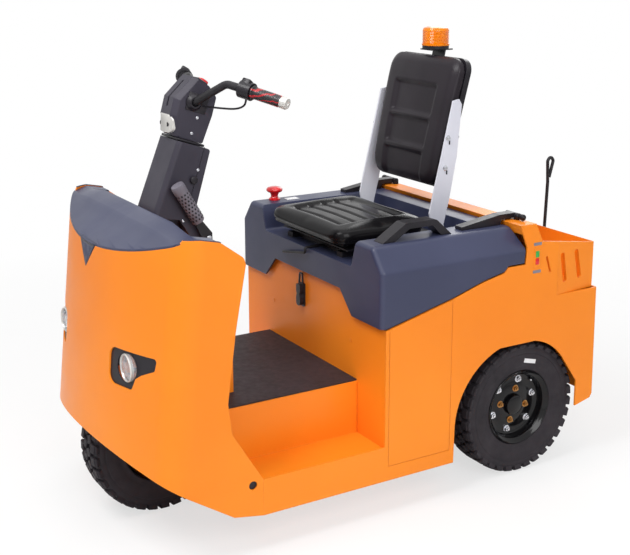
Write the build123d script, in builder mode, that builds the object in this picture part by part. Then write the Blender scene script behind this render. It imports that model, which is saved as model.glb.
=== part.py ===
from build123d import *
import os
from math import asin, cos, radians, sin, tan

# Three-wheeled electric tow tractor with a sit-on hood, a raked steering column and a tow coupling.
# Millimetres. X forward, Y to the driver's left, Z up. The origin is on the ground in the middle of
# the length. Every x below is measured forward from the rear axle, which the three views place.

# Whole machine
LENGTH = 1710.0
WIDTH = 818.0
WHEELBASE = 1030.0
TAIL = 450.0  # rear axle back to the end of the coupling
REAR_AXLE_X = TAIL - LENGTH / 2
NOSE = LENGTH - TAIL  # rear axle forward to the apron's lowest front point
HALF = WIDTH / 2

# Wheels
TYRE_OD = 415.0
TYRE_WIDTH = 112.0
TREAD_R = 198.0
LUGS = 34
LUG = (17.0, 26.0, 28.0)  # radial, round the tyre, across it
RIM_OD = 228.0
TRACK = 660.0
AXLE_Z = TYRE_OD / 2
FIT = 0.3  # running gap at pins, axles and seats

# Sheet thicknesses
PANEL_T = 6.0
SHEET = 5.0
HOOD_T = 5.0
GAP = 5.0  # between the hood and what it closes on

# Battery box and sills
BOX_FRONT = 513.0
SILL_Z = 102.0
SILL_TOP = 205.0
SILL_FRONT = 898.0
STEP_Z = 200.0
DECK_Z = 357.0
DECK_HALF = 265.0
DECK_END = 960.0
MAT_T = 5.0
BEAM_Z = 786.0
WALL_TOP = 640.0

# Line where the hood meets the box: x, z
HOOD_LINE = ((513, 547), (287, 602), (176, 636), (101, 652), (86, 667), (21, 667))
# Rear post, up its front edge and down its rear edge: x, z
POST_FRONT = ((21, 667), (17, 717), (45, BEAM_Z))
POST_REAR = ((-14, BEAM_Z), (-42, 729))
TRAY_REAR = -267.0
TRAY_STEP = -106.0  # behind here the tray's walls stand in from the sides
TRAY_FLOOR = 555.0
TRAY_TOP = (729.0, 696.0)  # height of the wall at the post and at the rear
TAIL_X = -271.0
SKIRT_Z = 180.0

# Side doors
DOOR = (286.0, 501.0)
DOOR_Z = 145.0
DOOR_GAP = 1.0
DOOR_LAND = 14.0

# Apron: plan arcs, rake and cut edges
RAKE = 6.0
NOSE_Z = 298.0
NOSE_R = 850.0
CORNER_R = 90.0
APRON_T = 5.0
APRON_REAR = ((940, 797), (972, 623), (997, 435), (986, 350))
CAP_LOW = (NOSE - 56, 809.0)
CAP_SLOPE = 0.6
CAP_RIDGE = NOSE - 149
CAP_CREST = (NOSE - 198, 873.0)
CAP_REAR = (NOSE - 250, 862.0)
CAP_FRONT = NOSE + 30  # ahead of the apron, where cuts start
FACE_REAR = NOSE - 130  # behind the apron's front face, where cuts through it end
CAP_T = 5.0
CAP_EAR = 60.0  # how wide the cap is behind its crest, along each wall
APRON_CHIN = (985.0, 118.0)
CHIN_SLOPE = 0.657

APRON_HOLE = (929.0, HALF + 1, 195.0)
APRON_HOLE_R = 12.0

# Steering
LEAN = 18.5
COLUMN_TOP = (915.0, 1048.0)
HEAD_SHAFT_R = 20.0
HEAD_HALF = 46.0
EDGE_R = 14.0  # on the column's and hood's front edges
HOUSING_Z = 450.0
HOUSING_HALF = 168.0
HOUSING_REAR = 862.0
HOUSING_FRONT = 1195.0
KINGPIN_R = 20.0
KINGPIN_TOP = 505.0
FORK_GAP = 8.0
FORK_T = 12.0
CABLE_R = 2.8

# Hood section
CREASE_Z = 710.0
SHOULDER_Y = 358.0
SHOULDER_Z = 775.0
WELL_Z = 697.0
WELL_HALF = (253.0, 277.0)  # at the floor and at the top
WELL_REAR = 112.0
HOOD_FRONT = 529.0

# Seat
SEAT_X = (222.0, 550.0)
SEAT_HALF = 215.0
SEAT_Z = (742.0, 796.0)
BACK_LEAN = 13.0
BACK_FOOT = (142.0, 865.0)
BACK_HEIGHT = 392.0
BACK_HALF = (165.0, 182.0)  # at the foot and at the top
SHELL_T = 18.0
BACK_T = 38.0
BRACKET_Y = 187.0
BRACKET_T = 6.0
RAIL_Z = 15.0
PAN_Z = 24.0
PAN_T = 4.0
LEVER_R = 4.0
SEAT_CORNER_R = 48.0
PAD_EDGE_R = 15.0
BEACON_X = 62.0
BEACON_Z = 1270.0

# Hood hinge
HINGE_Y = 315.0
HINGE_Z = 797.0
HINGE_R = 9.0
HINGE_PIN_R = 4.0
STRAP_W = 32.0
EAR_T = 7.0

# Tow coupling
COUPLING_HALF = 50.0
JAW_Z = (290.0, 350.0, 410.0)
JAW_T = 15.0
PIN_X = -408.0
PIN_R = 12.0
PIN_ROD_R = 5.5


def side_view(y):
    """Plane looking across the machine: x forward from the rear axle, z up."""
    return Plane(origin=(REAR_AXLE_X, y, 0), x_dir=(1, 0, 0), z_dir=(0, -1, 0))


def front_view(x):
    return Plane(origin=(REAR_AXLE_X + x, 0, 0), x_dir=(0, 1, 0), z_dir=(1, 0, 0))


def across(x, y, z):
    """Plane facing the right-hand side, its origin at the point given."""
    return Plane(origin=(REAR_AXLE_X + x, y, z), x_dir=(1, 0, 0), z_dir=(0, -1, 0))


def level(x, y, z):
    """Plane facing up, its origin at the point given."""
    return Plane(origin=(REAR_AXLE_X + x, y, z))


def facing(x, y, z):
    """Plane facing forward, its origin at the point given."""
    return Plane(origin=(REAR_AXLE_X + x, y, z), x_dir=(0, 1, 0), z_dir=(1, 0, 0))


def plan_view(z):
    return Plane(origin=(REAR_AXLE_X, 0, z), x_dir=(1, 0, 0), z_dir=(0, 0, 1))


def outline(plane, corners):
    """Face from rows of two places and, where a corner is round, its radius."""
    with BuildSketch(plane) as face:
        with BuildLine():
            Polyline(*[row[:2] for row in corners], close=True)
        make_face()
        for row in corners:
            if len(row) == 3:
                corner = face.vertices().sort_by_distance((row[0], row[1], 0))[0]
                fillet(corner, radius=row[2])
    return face.sketch


def slab(corners, y_low, y_high, mode=Mode.ADD):
    """Side-view outline as thick as the stretch of width given."""
    extrude(outline(side_view(y_low), corners), amount=y_low - y_high, mode=mode)


def front_slab(corners, x_low, x_high, mode=Mode.ADD):
    extrude(outline(front_view(x_low), corners), amount=x_high - x_low, mode=mode)


def plan_slab(corners, z_low, z_high, mode=Mode.ADD):
    extrude(outline(plan_view(z_low), corners), amount=z_high - z_low, mode=mode)


def block(x_low, x_high, y_low, y_high, z_low, z_high, mode=Mode.ADD):
    corners = ((x_low, y_low), (x_high, y_low), (x_high, y_high), (x_low, y_high))
    plan_slab(corners, z_low, z_high, mode)


def disc(plane, radius, height, mode=Mode.ADD):
    with BuildSketch(plane) as face:
        Circle(radius)
    extrude(face.sketch, amount=height, mode=mode)


def mirrored(corners):
    """An outline given for the left half, closed over the right half."""
    return tuple(corners) + tuple((-row[0],) + tuple(row[1:]) for row in reversed(corners))


def save(builder, name):
    builder.part.label = name
    export_step(builder.part, f"parts/{name}.step")


def save_pair(left, name):
    save(left, name + "_left")
    with BuildPart() as right:
        mirror(left.part, about=Plane.XZ)
    save(right, name + "_right")


def save_both(left, name):
    """One node that holds a piece and its mirror image."""
    with BuildPart() as pair:
        add(left.part)
        mirror(left.part, about=Plane.XZ)
    save(pair, name)


# Box sides

def arch():
    """Cut-out round a rear wheel."""
    with BuildSketch(side_view(-HALF - 1)) as face:
        with BuildLine():
            Polyline((-27, 424), (107, 424))
            ThreePointArc((107, 424), (220, 343), (268, 220))
            Polyline((268, 220), (273, 0), (-202, 0), (-202, 263), (-148, 340))
            ThreePointArc((-148, 340), (-106, 387), (-27, 424))
        make_face()
    return face.sketch


def tray_top(x):
    """Height of the tray's wall, which falls towards the rear."""
    share = (POST_REAR[1][0] - x) / (POST_REAR[1][0] - TRAY_REAR)
    return TRAY_TOP[0] + (TRAY_TOP[1] - TRAY_TOP[0]) * share


# Slots through the tray's side: x and z of the upper end, x and z of the lower end, width
SLOTS = ((-60, 678, -75, 633, 7), (-124, 675, -137, 598, 17), (-184, 676, -200, 601, 17))


def cut_slots(y_low, y_high):
    for x_top, z_top, x_low, z_low, width in SLOTS:
        with BuildSketch(side_view(y_low)) as slot:
            SlotCenterPoint(((x_top + x_low) / 2, (z_top + z_low) / 2), (x_top, z_top), width)
        extrude(slot.sketch, amount=y_low - y_high, mode=Mode.SUBTRACT)


def door_corners(inset):
    """Door outline, its top edge along the hood's line."""
    x_low, x_high = DOOR[0] + inset, DOOR[1] - inset
    (x_a, z_a), (x_b, z_b) = HOOD_LINE[0], HOOD_LINE[1]
    top = [z_a + (z_b - z_a) * (x_a - x) / (x_a - x_b) - inset for x in (x_low, x_high)]
    return ((x_low, DOOR_Z + inset), (x_high, DOOR_Z + inset), (x_high, top[1]), (x_low, top[0]))


def side_panels():
    rear = ((TRAY_STEP, tray_top(TRAY_STEP)), (TRAY_STEP, TRAY_FLOOR), (TRAY_REAR, TRAY_FLOOR),
            (TAIL_X, 208), (-263, 195), (-202, SKIRT_Z))
    corners = ((SILL_FRONT, SILL_Z), (SILL_FRONT, SILL_TOP), (BOX_FRONT, SILL_TOP), *HOOD_LINE,
               *POST_FRONT[1:], *POST_REAR, *rear, (-202, SILL_Z))
    inner = HALF - PANEL_T
    with BuildPart() as panel:
        slab(corners, inner, HALF)
        extrude(arch(), amount=-WIDTH - 2, mode=Mode.SUBTRACT)
        slab(door_corners(0), HALF - PANEL_T / 2, HALF, Mode.SUBTRACT)
        slab(door_corners(DOOR_LAND), inner, HALF, Mode.SUBTRACT)
        cut_slots(inner, HALF)
    save_pair(panel, "side_panel")
    with BuildPart() as door:
        slab(door_corners(DOOR_GAP), HALF - PANEL_T / 2, HALF)
    save_pair(door, "side_door")


def bulkhead():
    low, high = HALF - PANEL_T, HALF - PANEL_T - 18
    corners = ((low, SILL_Z + SHEET), (low, HOOD_LINE[0][1]), (high, HOOD_LINE[0][1]), (high, WALL_TOP))
    with BuildPart() as wall:
        front_slab(mirrored(corners), BOX_FRONT - PANEL_T, BOX_FRONT)
    save(wall, "front_wall")


def cross_beam():
    x_front, x_rear = POST_FRONT[2][0], POST_REAR[0][0]
    z_low = BEAM_Z - 29
    corners = ((x_front, BEAM_Z), (x_rear, BEAM_Z), (x_rear - 14, z_low), (x_rear - 8, z_low),
               (x_rear + 3.5, BEAM_Z - SHEET), (x_front - 8, BEAM_Z - SHEET), (x_front - 18, z_low),
               (x_front - 12, z_low))
    with BuildPart() as beam:
        slab(corners, PANEL_T - HALF, HALF - PANEL_T)
    save(beam, "cross_beam")


def tray():
    side = HALF - PANEL_T
    outer = ((-19, side), (TRAY_STEP, side), (TRAY_STEP, HALF), (TRAY_REAR + 8, HALF - 13), (TRAY_REAR, HALF - 22))
    inner = ((-23, side - 4), (TRAY_STEP + 4, side - 4), (TRAY_REAR + 11, HALF - 18), (TRAY_REAR + 4, HALF - 25))
    swap = lambda rows: tuple(rows) + tuple((x, -y) for x, y in reversed(rows))
    top = ((-19, 757), (POST_REAR[1][0] + 14, 757), POST_REAR[1], (TRAY_REAR, TRAY_TOP[1]))
    with BuildPart() as bin:
        plan_slab(swap(outer), TRAY_FLOOR, 757)
        plan_slab(swap(inner), TRAY_FLOOR + 4, 760, Mode.SUBTRACT)
        slab((*top, (TRAY_REAR, TRAY_FLOOR), (-19, TRAY_FLOOR)), -HALF, HALF, Mode.INTERSECT)
        cut_slots(HALF - 30, HALF)
        cut_slots(-HALF, 30 - HALF)
    save(bin, "tray")
    with BuildPart() as plate:
        block(TAIL_X, TAIL_X + PANEL_T, -side, side, 208, TRAY_FLOOR)
    save(plate, "rear_plate")


# Floor, steps and front wheel housing

# Sheets of the step frame, left half: x from, to, y from, to, z from, to
STEP_SHEETS = (
    (BOX_FRONT, HOUSING_REAR, 0, DECK_HALF, DECK_Z - SHEET, DECK_Z),
    (HOUSING_REAR, DECK_END, HOUSING_HALF, DECK_HALF, DECK_Z - SHEET, DECK_Z),
    (BOX_FRONT + 1, DECK_END, DECK_HALF - SHEET, DECK_HALF, STEP_Z - SHEET, DECK_Z - SHEET),
    (BOX_FRONT, SILL_FRONT, DECK_HALF, HALF - PANEL_T, STEP_Z - SHEET, STEP_Z),
    (BOX_FRONT + 1, SILL_FRONT, DECK_HALF - SHEET, DECK_HALF, SILL_Z, STEP_Z - SHEET),
    (BOX_FRONT, SILL_FRONT, DECK_HALF, HALF - PANEL_T, SILL_Z, SILL_Z + SHEET),
    (SILL_FRONT - SHEET, SILL_FRONT, DECK_HALF, HALF - PANEL_T, SILL_Z + SHEET, STEP_Z - SHEET),
    (280, BOX_FRONT + 10, 0, HALF - PANEL_T, SILL_Z, SILL_Z + SHEET),
)


def step_frame():
    with BuildPart() as frame:
        for x_low, x_high, y_low, y_high, z_low, z_high in STEP_SHEETS:
            block(x_low, x_high, y_low, y_high, z_low, z_high)
            block(x_low, x_high, -y_high, -y_low, z_low, z_high)
    save(frame, "step_frame")
    edge = DECK_HALF - 3
    corners = ((BOX_FRONT + 1, edge), (DECK_END - 5, edge), (DECK_END - 5, HOUSING_HALF + 1),
               (HOUSING_REAR - 1, HOUSING_HALF + 1))
    rows = corners + tuple((x, -y) for x, y in reversed(corners))
    with BuildPart() as mat:
        plan_slab(rows, DECK_Z, DECK_Z + MAT_T)
    save(mat, "floor_mat")


def wheel_housing():
    inside = apron_volume(APRON_T)
    side = HOUSING_HALF
    with BuildPart() as housing:
        block(HOUSING_REAR, HOUSING_REAR + SHEET, -side, side, DECK_Z - SHEET, HOUSING_Z)
        for y in (-side, side - SHEET):
            block(HOUSING_REAR, NOSE, y, y + SHEET, DECK_Z - SHEET, HOUSING_Z)
        block(HOUSING_REAR, HOUSING_FRONT, -side, side, HOUSING_Z, HOUSING_Z + PANEL_T)
        block(HOUSING_FRONT - SHEET, HOUSING_FRONT, -side, side, 385, HOUSING_Z)
        add(inside, mode=Mode.INTERSECT)
        spot = level(WHEELBASE, 0, HOUSING_Z)
        disc(spot, KINGPIN_R + 14, KINGPIN_TOP - 5 - HOUSING_Z)
        disc(spot, KINGPIN_R + FIT, KINGPIN_TOP, Mode.SUBTRACT)
    save(housing, "wheel_housing")


# Apron

def apron_plan(inset):
    """Plan outline at the nose's height, drawn in by the inset."""
    end = asin((HALF - CORNER_R) / (NOSE_R - CORNER_R))
    x_c = NOSE - NOSE_R
    big, small, half = NOSE_R - inset, CORNER_R - inset, HALF - inset
    x_k = x_c + (NOSE_R - CORNER_R) * cos(end)
    y_k = HALF - CORNER_R
    x_rear = 800
    with BuildSketch(plan_view(NOSE_Z)) as plan:
        with BuildLine():
            a = (x_c + big * cos(end), big * sin(end))
            mid = (end + radians(90)) / 2
            b = (x_k + small * cos(mid), y_k + small * sin(mid))
            c = (x_k, half)
            ThreePointArc((a[0], -a[1]), (x_c + big, 0), a)
            ThreePointArc(a, b, c)
            Polyline(c, (x_rear, half), (x_rear, -half), (c[0], -c[1]))
            ThreePointArc((c[0], -c[1]), (b[0], -b[1]), (a[0], -a[1]))
        make_face()
    return plan.sketch


def apron_volume(inset):
    """Everything inside the raked apron's face, from below its edge to above its top."""
    rise = 600.0
    drop = 220.0
    lean = (-sin(radians(RAKE)), 0, cos(radians(RAKE)))
    down = (sin(radians(RAKE)), 0, -cos(radians(RAKE)))
    with BuildPart() as volume:
        extrude(apron_plan(inset), amount=rise / cos(radians(RAKE)), dir=lean)
        extrude(apron_plan(inset), amount=drop / cos(radians(RAKE)), dir=down)
    return volume.part


def cap_height(x):
    return CAP_LOW[1] + CAP_SLOPE * (CAP_LOW[0] - x)


# Lamp opening on the left, seen from the front: y, z, corner radius
LAMP_OPENING = ((168, 466, 26), (166, 563, 26), (343, 566, 9), (338, 534, 7), (296, 514, 12),
                (276, 500, 10), (264, 466, 14))
LAMP = (NOSE - 64, 234.0, 518.0)
LAMP_R = 38.0
V_TIP = 742.0
V_HALF = 44.0


def v_corners(grow=0.0):
    return ((-V_HALF - grow, CAP_LOW[1] + 12), (0, V_TIP), (V_HALF + grow, CAP_LOW[1] + 12))


def apron():
    outer, inner = apron_volume(0), apron_volume(APRON_T)
    shoulder = CAP_RIDGE - 5
    corners = ((SILL_FRONT, SILL_Z), APRON_CHIN, (CAP_FRONT, APRON_CHIN[1] + (CAP_FRONT - APRON_CHIN[0]) * CHIN_SLOPE),
               (CAP_FRONT, cap_height(CAP_FRONT) - CAP_T), (shoulder, cap_height(shoulder) - CAP_T),
               (shoulder - 8, CAP_CREST[1] + 1), (CAP_CREST[0], CAP_CREST[1] + 1), (CAP_REAR[0], CAP_REAR[1] + 1, 30),
               (945, 815, 20), *APRON_REAR, (SILL_FRONT, SILL_TOP))
    with BuildPart() as shell:
        add(outer)
        add(inner, mode=Mode.SUBTRACT)
        slab(corners, -HALF, HALF, Mode.INTERSECT)
        front_slab(v_corners(), FACE_REAR, CAP_FRONT, Mode.SUBTRACT)
        front_slab(LAMP_OPENING, FACE_REAR, CAP_FRONT, Mode.SUBTRACT)
        front_slab(tuple((-row[0],) + row[1:] for row in LAMP_OPENING), FACE_REAR, CAP_FRONT, Mode.SUBTRACT)
        disc(across(*APRON_HOLE), APRON_HOLE_R, WIDTH + 2, Mode.SUBTRACT)
    save(shell, "apron")

    crown = ((CAP_FRONT, cap_height(CAP_FRONT)), (CAP_RIDGE, cap_height(CAP_RIDGE)), CAP_CREST, CAP_REAR)
    band = crown + tuple((x, z - CAP_T) for x, z in reversed(crown))
    with BuildPart() as vee:
        add(outer)
        add(inner, mode=Mode.SUBTRACT)
        front_slab(v_corners(), FACE_REAR, CAP_FRONT, Mode.INTERSECT)
        slab(((CAP_FRONT, 700), crown[0], (FACE_REAR, cap_height(FACE_REAR)), (FACE_REAR, 700)), -60, 60,
             Mode.INTERSECT)
    with BuildPart() as cap:
        add(outer)
        slab(band, -HALF, HALF, Mode.INTERSECT)
        block(CAP_REAR[0] - 1, CAP_CREST[0], CAP_EAR - HALF, HALF - CAP_EAR, CAP_REAR[1] - 20, CAP_CREST[1] + 1,
              Mode.SUBTRACT)
        add(shell.part, mode=Mode.SUBTRACT)
        add(vee.part)
    save(cap, "front_cap")

    behind, deep = apron_volume(APRON_T), apron_volume(APRON_T + 3)
    grown = ((150, 452, 20), (150, 580, 20), (356, 580, 12), (356, 520, 12), (280, 452, 20))
    with BuildPart() as backing:
        add(behind)
        add(deep, mode=Mode.SUBTRACT)
        front_slab(grown, FACE_REAR, CAP_FRONT, Mode.INTERSECT)
        disc(facing(LAMP[0] - 96, LAMP[1], LAMP[2]), LAMP_R + FIT, 200, Mode.SUBTRACT)
    save_both(backing, "lamp_backings")


def headlamps():
    x, y, z = LAMP
    axis_plane = Plane(origin=(REAR_AXLE_X, y, z), x_dir=(1, 0, 0), z_dir=(0, -1, 0))
    rows = ((x - 62, 0), (x - 62, 18), (x - 40, 30), (x - 8, LAMP_R), (x + 4, LAMP_R), (x + 4, LAMP_R - 4),
            (x + 8, 20), (x + 8, 0))
    with BuildPart() as lamp:
        with BuildSketch(axis_plane):
            with BuildLine():
                Polyline(*rows, close=True)
            make_face()
        revolve(axis=Axis((REAR_AXLE_X, y, z), (1, 0, 0)))
    save_both(lamp, "headlamps")


# Frame, axle, drive and battery

def running_gear():
    with BuildPart() as frame:
        for side in (-1, 1):
            y_low, y_high = sorted((side * 205, side * 245))
            block(TAIL_X + PANEL_T, BOX_FRONT - PANEL_T, y_low, y_high, 255, 330)
            block(-40, 40, y_low, y_high, AXLE_Z + 30, 255)
        block(430, 470, -205, 205, 255, 330)
        block(TAIL_X + PANEL_T, TAIL_X + 46, -205, 205, 255, 330)
    with BuildPart() as axle:
        disc(across(0, TRACK / 2 - TYRE_WIDTH / 2 - 8, AXLE_Z), 30, TRACK - TYRE_WIDTH - 16)
        disc(across(0, TRACK / 2 + 20, AXLE_Z), 16, TRACK + 40)
    with BuildPart() as trimmed:
        add(frame.part)
        add(axle.part, mode=Mode.SUBTRACT)
    save(trimmed, "main_frame")
    save(axle, "rear_axle")
    with BuildPart() as drive:
        disc(across(0, 70, AXLE_Z), 90, 140)
        block(60, 200, -70, 70, AXLE_Z - 70, AXLE_Z + 70)
        disc(facing(200, 0, AXLE_Z), 75, 210)
        add(axle.part, mode=Mode.SUBTRACT)
    save(drive, "drive_unit")
    with BuildPart() as battery:
        block(70, 480, -262, 262, 330, 600)
    save(battery, "battery")


# Wheels

def wheel(name, x, y):
    """Tyre and split rim, standing in the side-view plane through the wheel's centre."""
    half = TYRE_WIDTH / 2
    rim_r = RIM_OD / 2
    centre = Plane(origin=(REAR_AXLE_X + x, y, AXLE_Z), x_dir=(0, 1, 0), z_dir=(1, 0, 0))
    spin = Axis((REAR_AXLE_X + x, y, AXLE_Z), (0, 1, 0))
    tread = ((half - 6, TREAD_R), (half - 2, TREAD_R - 8), (half, AXLE_Z - 45), (half - 8, rim_r + 2),
             (half - 22, rim_r - 8))
    with BuildPart() as tyre:
        with BuildSketch(centre):
            with BuildLine():
                Polyline(*mirrored(tread), close=True)
            make_face()
        revolve(axis=spin)
        for y_high, shift in ((y + half, 0), (y - half + LUG[2], 180 / LUGS)):
            with BuildSketch(across(x, y_high, AXLE_Z)) as ring:
                with PolarLocations(TYRE_OD / 2 - LUG[0] / 2, LUGS, start_angle=shift):
                    Rectangle(LUG[0], LUG[1])
                Circle(TYRE_OD / 2, mode=Mode.INTERSECT)
            extrude(ring.sketch, amount=LUG[2])
    save(tyre, "tyre_" + name)
    profile = ((half - 8, rim_r + 1), (half - 4, rim_r - 1), (half - 10, rim_r - 10), (half - 16, rim_r - 13),
               (20, 97), (16, 90), (18, 34), (30, 29), (33, 17))
    with BuildPart() as rim:
        with BuildSketch(centre):
            with BuildLine():
                Polyline(*mirrored(profile), close=True)
            make_face()
        revolve(axis=spin)
        add(tyre.part, mode=Mode.SUBTRACT)
    save(rim, "rim_" + name)


# Front fork

def fork():
    arm_y = TYRE_WIDTH / 2 + FORK_GAP
    crown_z = TYRE_OD + 9
    with BuildPart() as part:
        block(WHEELBASE - 45, WHEELBASE + 45, -arm_y - FORK_T, arm_y + FORK_T, crown_z, crown_z + 14)
        for y in (-arm_y - FORK_T, arm_y):
            corners = ((WHEELBASE - 45, crown_z), (WHEELBASE + 45, crown_z), (WHEELBASE + 34, AXLE_Z - 10),
                       (WHEELBASE + 16, AXLE_Z - 34), (WHEELBASE - 16, AXLE_Z - 34), (WHEELBASE - 34, AXLE_Z - 10))
            slab(corners, y, y + FORK_T)
        disc(level(WHEELBASE, 0, crown_z + 14), KINGPIN_R, KINGPIN_TOP - crown_z - 14)
        disc(across(WHEELBASE, arm_y + FORK_T + 8, AXLE_Z), 16, 2 * (arm_y + FORK_T + 8))
    save(part, "fork")


# Steering column

def along_column(s):
    """Plane across the steering axis, s above the top of the column cover; its x points forward."""
    lean = radians(LEAN)
    up = Vector(-sin(lean), 0, cos(lean))
    top = Vector(REAR_AXLE_X + COLUMN_TOP[0], 0, COLUMN_TOP[1])
    return Plane(origin=top + up * s, x_dir=(cos(lean), 0, sin(lean)), z_dir=up)


def round_front(part, radius):
    """Rounds the leaning front face's two long edges."""
    front = part.faces().sort_by(Axis((0, 0, 0), (1, 0, 0.4)))[-1]
    fillet(front.edges().filter_by(Plane.XZ), radius)


def column():
    with BuildPart() as post:
        with BuildSketch(along_column(-640)) as tube:
            Rectangle(60, 60)
        extrude(tube.sketch, amount=560)
        block(900, 1260, -60, 60, 300, HOUSING_Z + PANEL_T, Mode.SUBTRACT)
        block(1060, 1180, -45, 45, HOUSING_Z + PANEL_T, HOUSING_Z + PANEL_T + 8)
        disc(level(WHEELBASE, 0, HOUSING_Z), KINGPIN_R + 14 + FIT, 100, Mode.SUBTRACT)
    half = 66
    side = ((962, 1064), (868, 1033, 8), (915, 876), (893, 770, 6), (912, 762, 6), (965, 846), (1042, 859))
    inner = ((955, 1054), (878, 1029), (922, 876), (893, 700), (1100, 700))
    with BuildPart() as hollow:
        slab(inner, -half + 4, half - 4)
        round_front(hollow, EDGE_R - 4)
    with BuildPart() as cover:
        slab(side, -half, half)
        round_front(cover, EDGE_R)
        add(hollow.part, mode=Mode.SUBTRACT)
        disc(along_column(-40), HEAD_SHAFT_R + FIT, 80, Mode.SUBTRACT)
    with BuildPart() as trimmed:
        add(post.part)
        add(cover.part, mode=Mode.SUBTRACT)
    save(trimmed, "column_post")
    save(cover, "column_cover")


def steering_head():
    side = ((962, 1074), (970, 1131), (957, 1178), (900, 1232), (858, 1204, 10), (837, 1172, 12),
            (851, 1123, 12), (883, 1047, 6))
    with BuildPart() as head:
        slab(side, -HEAD_HALF, HEAD_HALF)
        front = head.edges().filter_by(GeomType.LINE).filter_by(Plane.XZ).sort_by(Axis.X)[-6:]
        chamfer(front, EDGE_R)
        slab(((958, 1152), (990, 1152), (960, 1240), (905, 1215)), -4.5, 4.5, Mode.SUBTRACT)
        disc(along_column(-60), HEAD_SHAFT_R, 80)
    save(head, "steering_head")
    saddle = ((966, 1076), (977, 1080), (981, 1118), (974, 1135), (967, 1131))
    with BuildPart() as trim:
        slab(saddle, -38, 38)
        for y in (-27, 18):
            block(960, 990, y, y + 9, 1090, 1116, Mode.SUBTRACT)
        add(head.part, mode=Mode.SUBTRACT)
    save(trim, "head_trim")
    bar_r = 11
    points = ((905, 0, 1163), (905, 50, 1163), (842, 120, 1216), (825, 190, 1207), (762, 300, 1178))
    points = [(REAR_AXLE_X + x, y, z) for x, y, z in points]
    with BuildPart() as bar:
        with BuildLine() as path:
            FilletPolyline(*points, radius=[18, 30, 60])
        with BuildSketch(Plane(origin=path.line @ 0, z_dir=path.line % 0)):
            Circle(bar_r)
        sweep()
        mirror(about=Plane.XZ)
        add(head.part, mode=Mode.SUBTRACT)
    save(bar, "handlebar")
    grip_end = Vector(*points[-1])
    grip_dir = (grip_end - Vector(*points[-2])).normalized()
    with BuildPart() as grip:
        with BuildSketch(Plane(origin=grip_end - grip_dir * 102, z_dir=grip_dir)) as ring:
            Circle(16)
        extrude(ring.sketch, amount=108)
        add(bar.part, mode=Mode.SUBTRACT)
    save_both(grip, "grips")
    with BuildPart() as housing:
        with BuildSketch(Plane(origin=grip_end - grip_dir * 140, z_dir=grip_dir)) as ring:
            Circle(24)
        extrude(ring.sketch, amount=36)
        add(bar.part, mode=Mode.SUBTRACT)
    save_both(housing, "throttle_housings")
    route = ((818, 190, 1190), (816, 178, 1168), (822, 150, 1153), (840, 105, 1149), (862, 70, 1150), (885, 40, 1151))
    with BuildPart() as cable:
        with BuildLine() as path:
            Spline(*[(REAR_AXLE_X + x, y, z) for x, y, z in route])
        with BuildSketch(Plane(origin=path.line @ 0, z_dir=path.line % 0)):
            Circle(CABLE_R)
        sweep()
        for solid in (housing, head, bar):
            add(solid.part, mode=Mode.SUBTRACT)
    save(cable, "throttle_cable")


def brake():
    with BuildPart() as lever:
        slab(((880, 772, 8), (902, 772, 8), (934, 846), (920, 856), (880, 806, 8)), 84, 92)
        disc(across(892, 84, 790), 9, 18)
    save(lever, "brake_lever")
    with BuildPart() as grip:
        with BuildSketch(Plane(origin=(REAR_AXLE_X + 919, 89, 842), z_dir=(0.66, 0, 0.75))) as ring:
            Circle(19)
        extrude(ring.sketch, amount=125)
        add(lever.part, mode=Mode.SUBTRACT)
    save(grip, "brake_grip")


# Hood

def hood_keep(inset):
    """Side view of the hood: lower edge along the box, rear edge along the posts."""
    lower = [(x, z + GAP) for x, z in HOOD_LINE[:5]]
    rear = [(POST_FRONT[0][0] + GAP + 1, POST_FRONT[0][1] + GAP), (POST_FRONT[1][0] + GAP + 1, POST_FRONT[1][1]),
            (POST_FRONT[2][0] + GAP + 1, POST_FRONT[2][1])]
    if inset:
        lower = [(x, z - 60) for x, z in lower]
        rear = [(x + inset, z) for x, z in rear]
        rear[0] = (rear[0][0], rear[0][1] - 60)
    front = HOOD_FRONT - inset
    return ((front, lower[0][1]), *lower, *rear, (rear[2][0], 810), (front, 810))


def hood_section(inset):
    half = HALF - inset
    corners = ((half, 480), (half, CREASE_Z, 16 - inset), (SHOULDER_Y - inset * 0.5, SHOULDER_Z - inset, 22 - inset))
    return mirrored(corners)


def well_section(grow):
    low, high = WELL_HALF[0] + grow, WELL_HALF[1] + grow
    return mirrored(((high + 8, 800), (high, SHOULDER_Z), (low, WELL_Z - grow, 12)))


def round_nose(part, radius):
    """Rounds the front face's edges, all but the lower one."""
    edges = part.faces().sort_by(Axis.X)[-1].edges()
    fillet(edges.sort_by(Axis.Z)[1:], radius)


def hood():
    with BuildPart() as well_core:
        front_slab(well_section(HOOD_T), WELL_REAR - HOOD_T, HOOD_FRONT)
    with BuildPart() as core:
        front_slab(hood_section(HOOD_T), 0, HOOD_FRONT - HOOD_T)
        slab(hood_keep(HOOD_T), -HALF, HALF, Mode.INTERSECT)
        round_nose(core, EDGE_R - HOOD_T)
        add(well_core.part, mode=Mode.SUBTRACT)
    notch = ((256, 400), (256, HOOD_LINE[0][1] + GAP), (192, 619), (-192, 619), (-256, HOOD_LINE[0][1] + GAP),
             (-256, 400))
    with BuildPart() as shell:
        front_slab(hood_section(0), 0, HOOD_FRONT)
        slab(hood_keep(0), -HALF, HALF, Mode.INTERSECT)
        round_nose(shell, EDGE_R)
        front_slab(well_section(0), WELL_REAR, HOOD_FRONT + 1, Mode.SUBTRACT)
        add(core.part, mode=Mode.SUBTRACT)
        front_slab(notch, HOOD_FRONT - 20, HOOD_FRONT + 1, Mode.SUBTRACT)
    save(shell, "hood")


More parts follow.
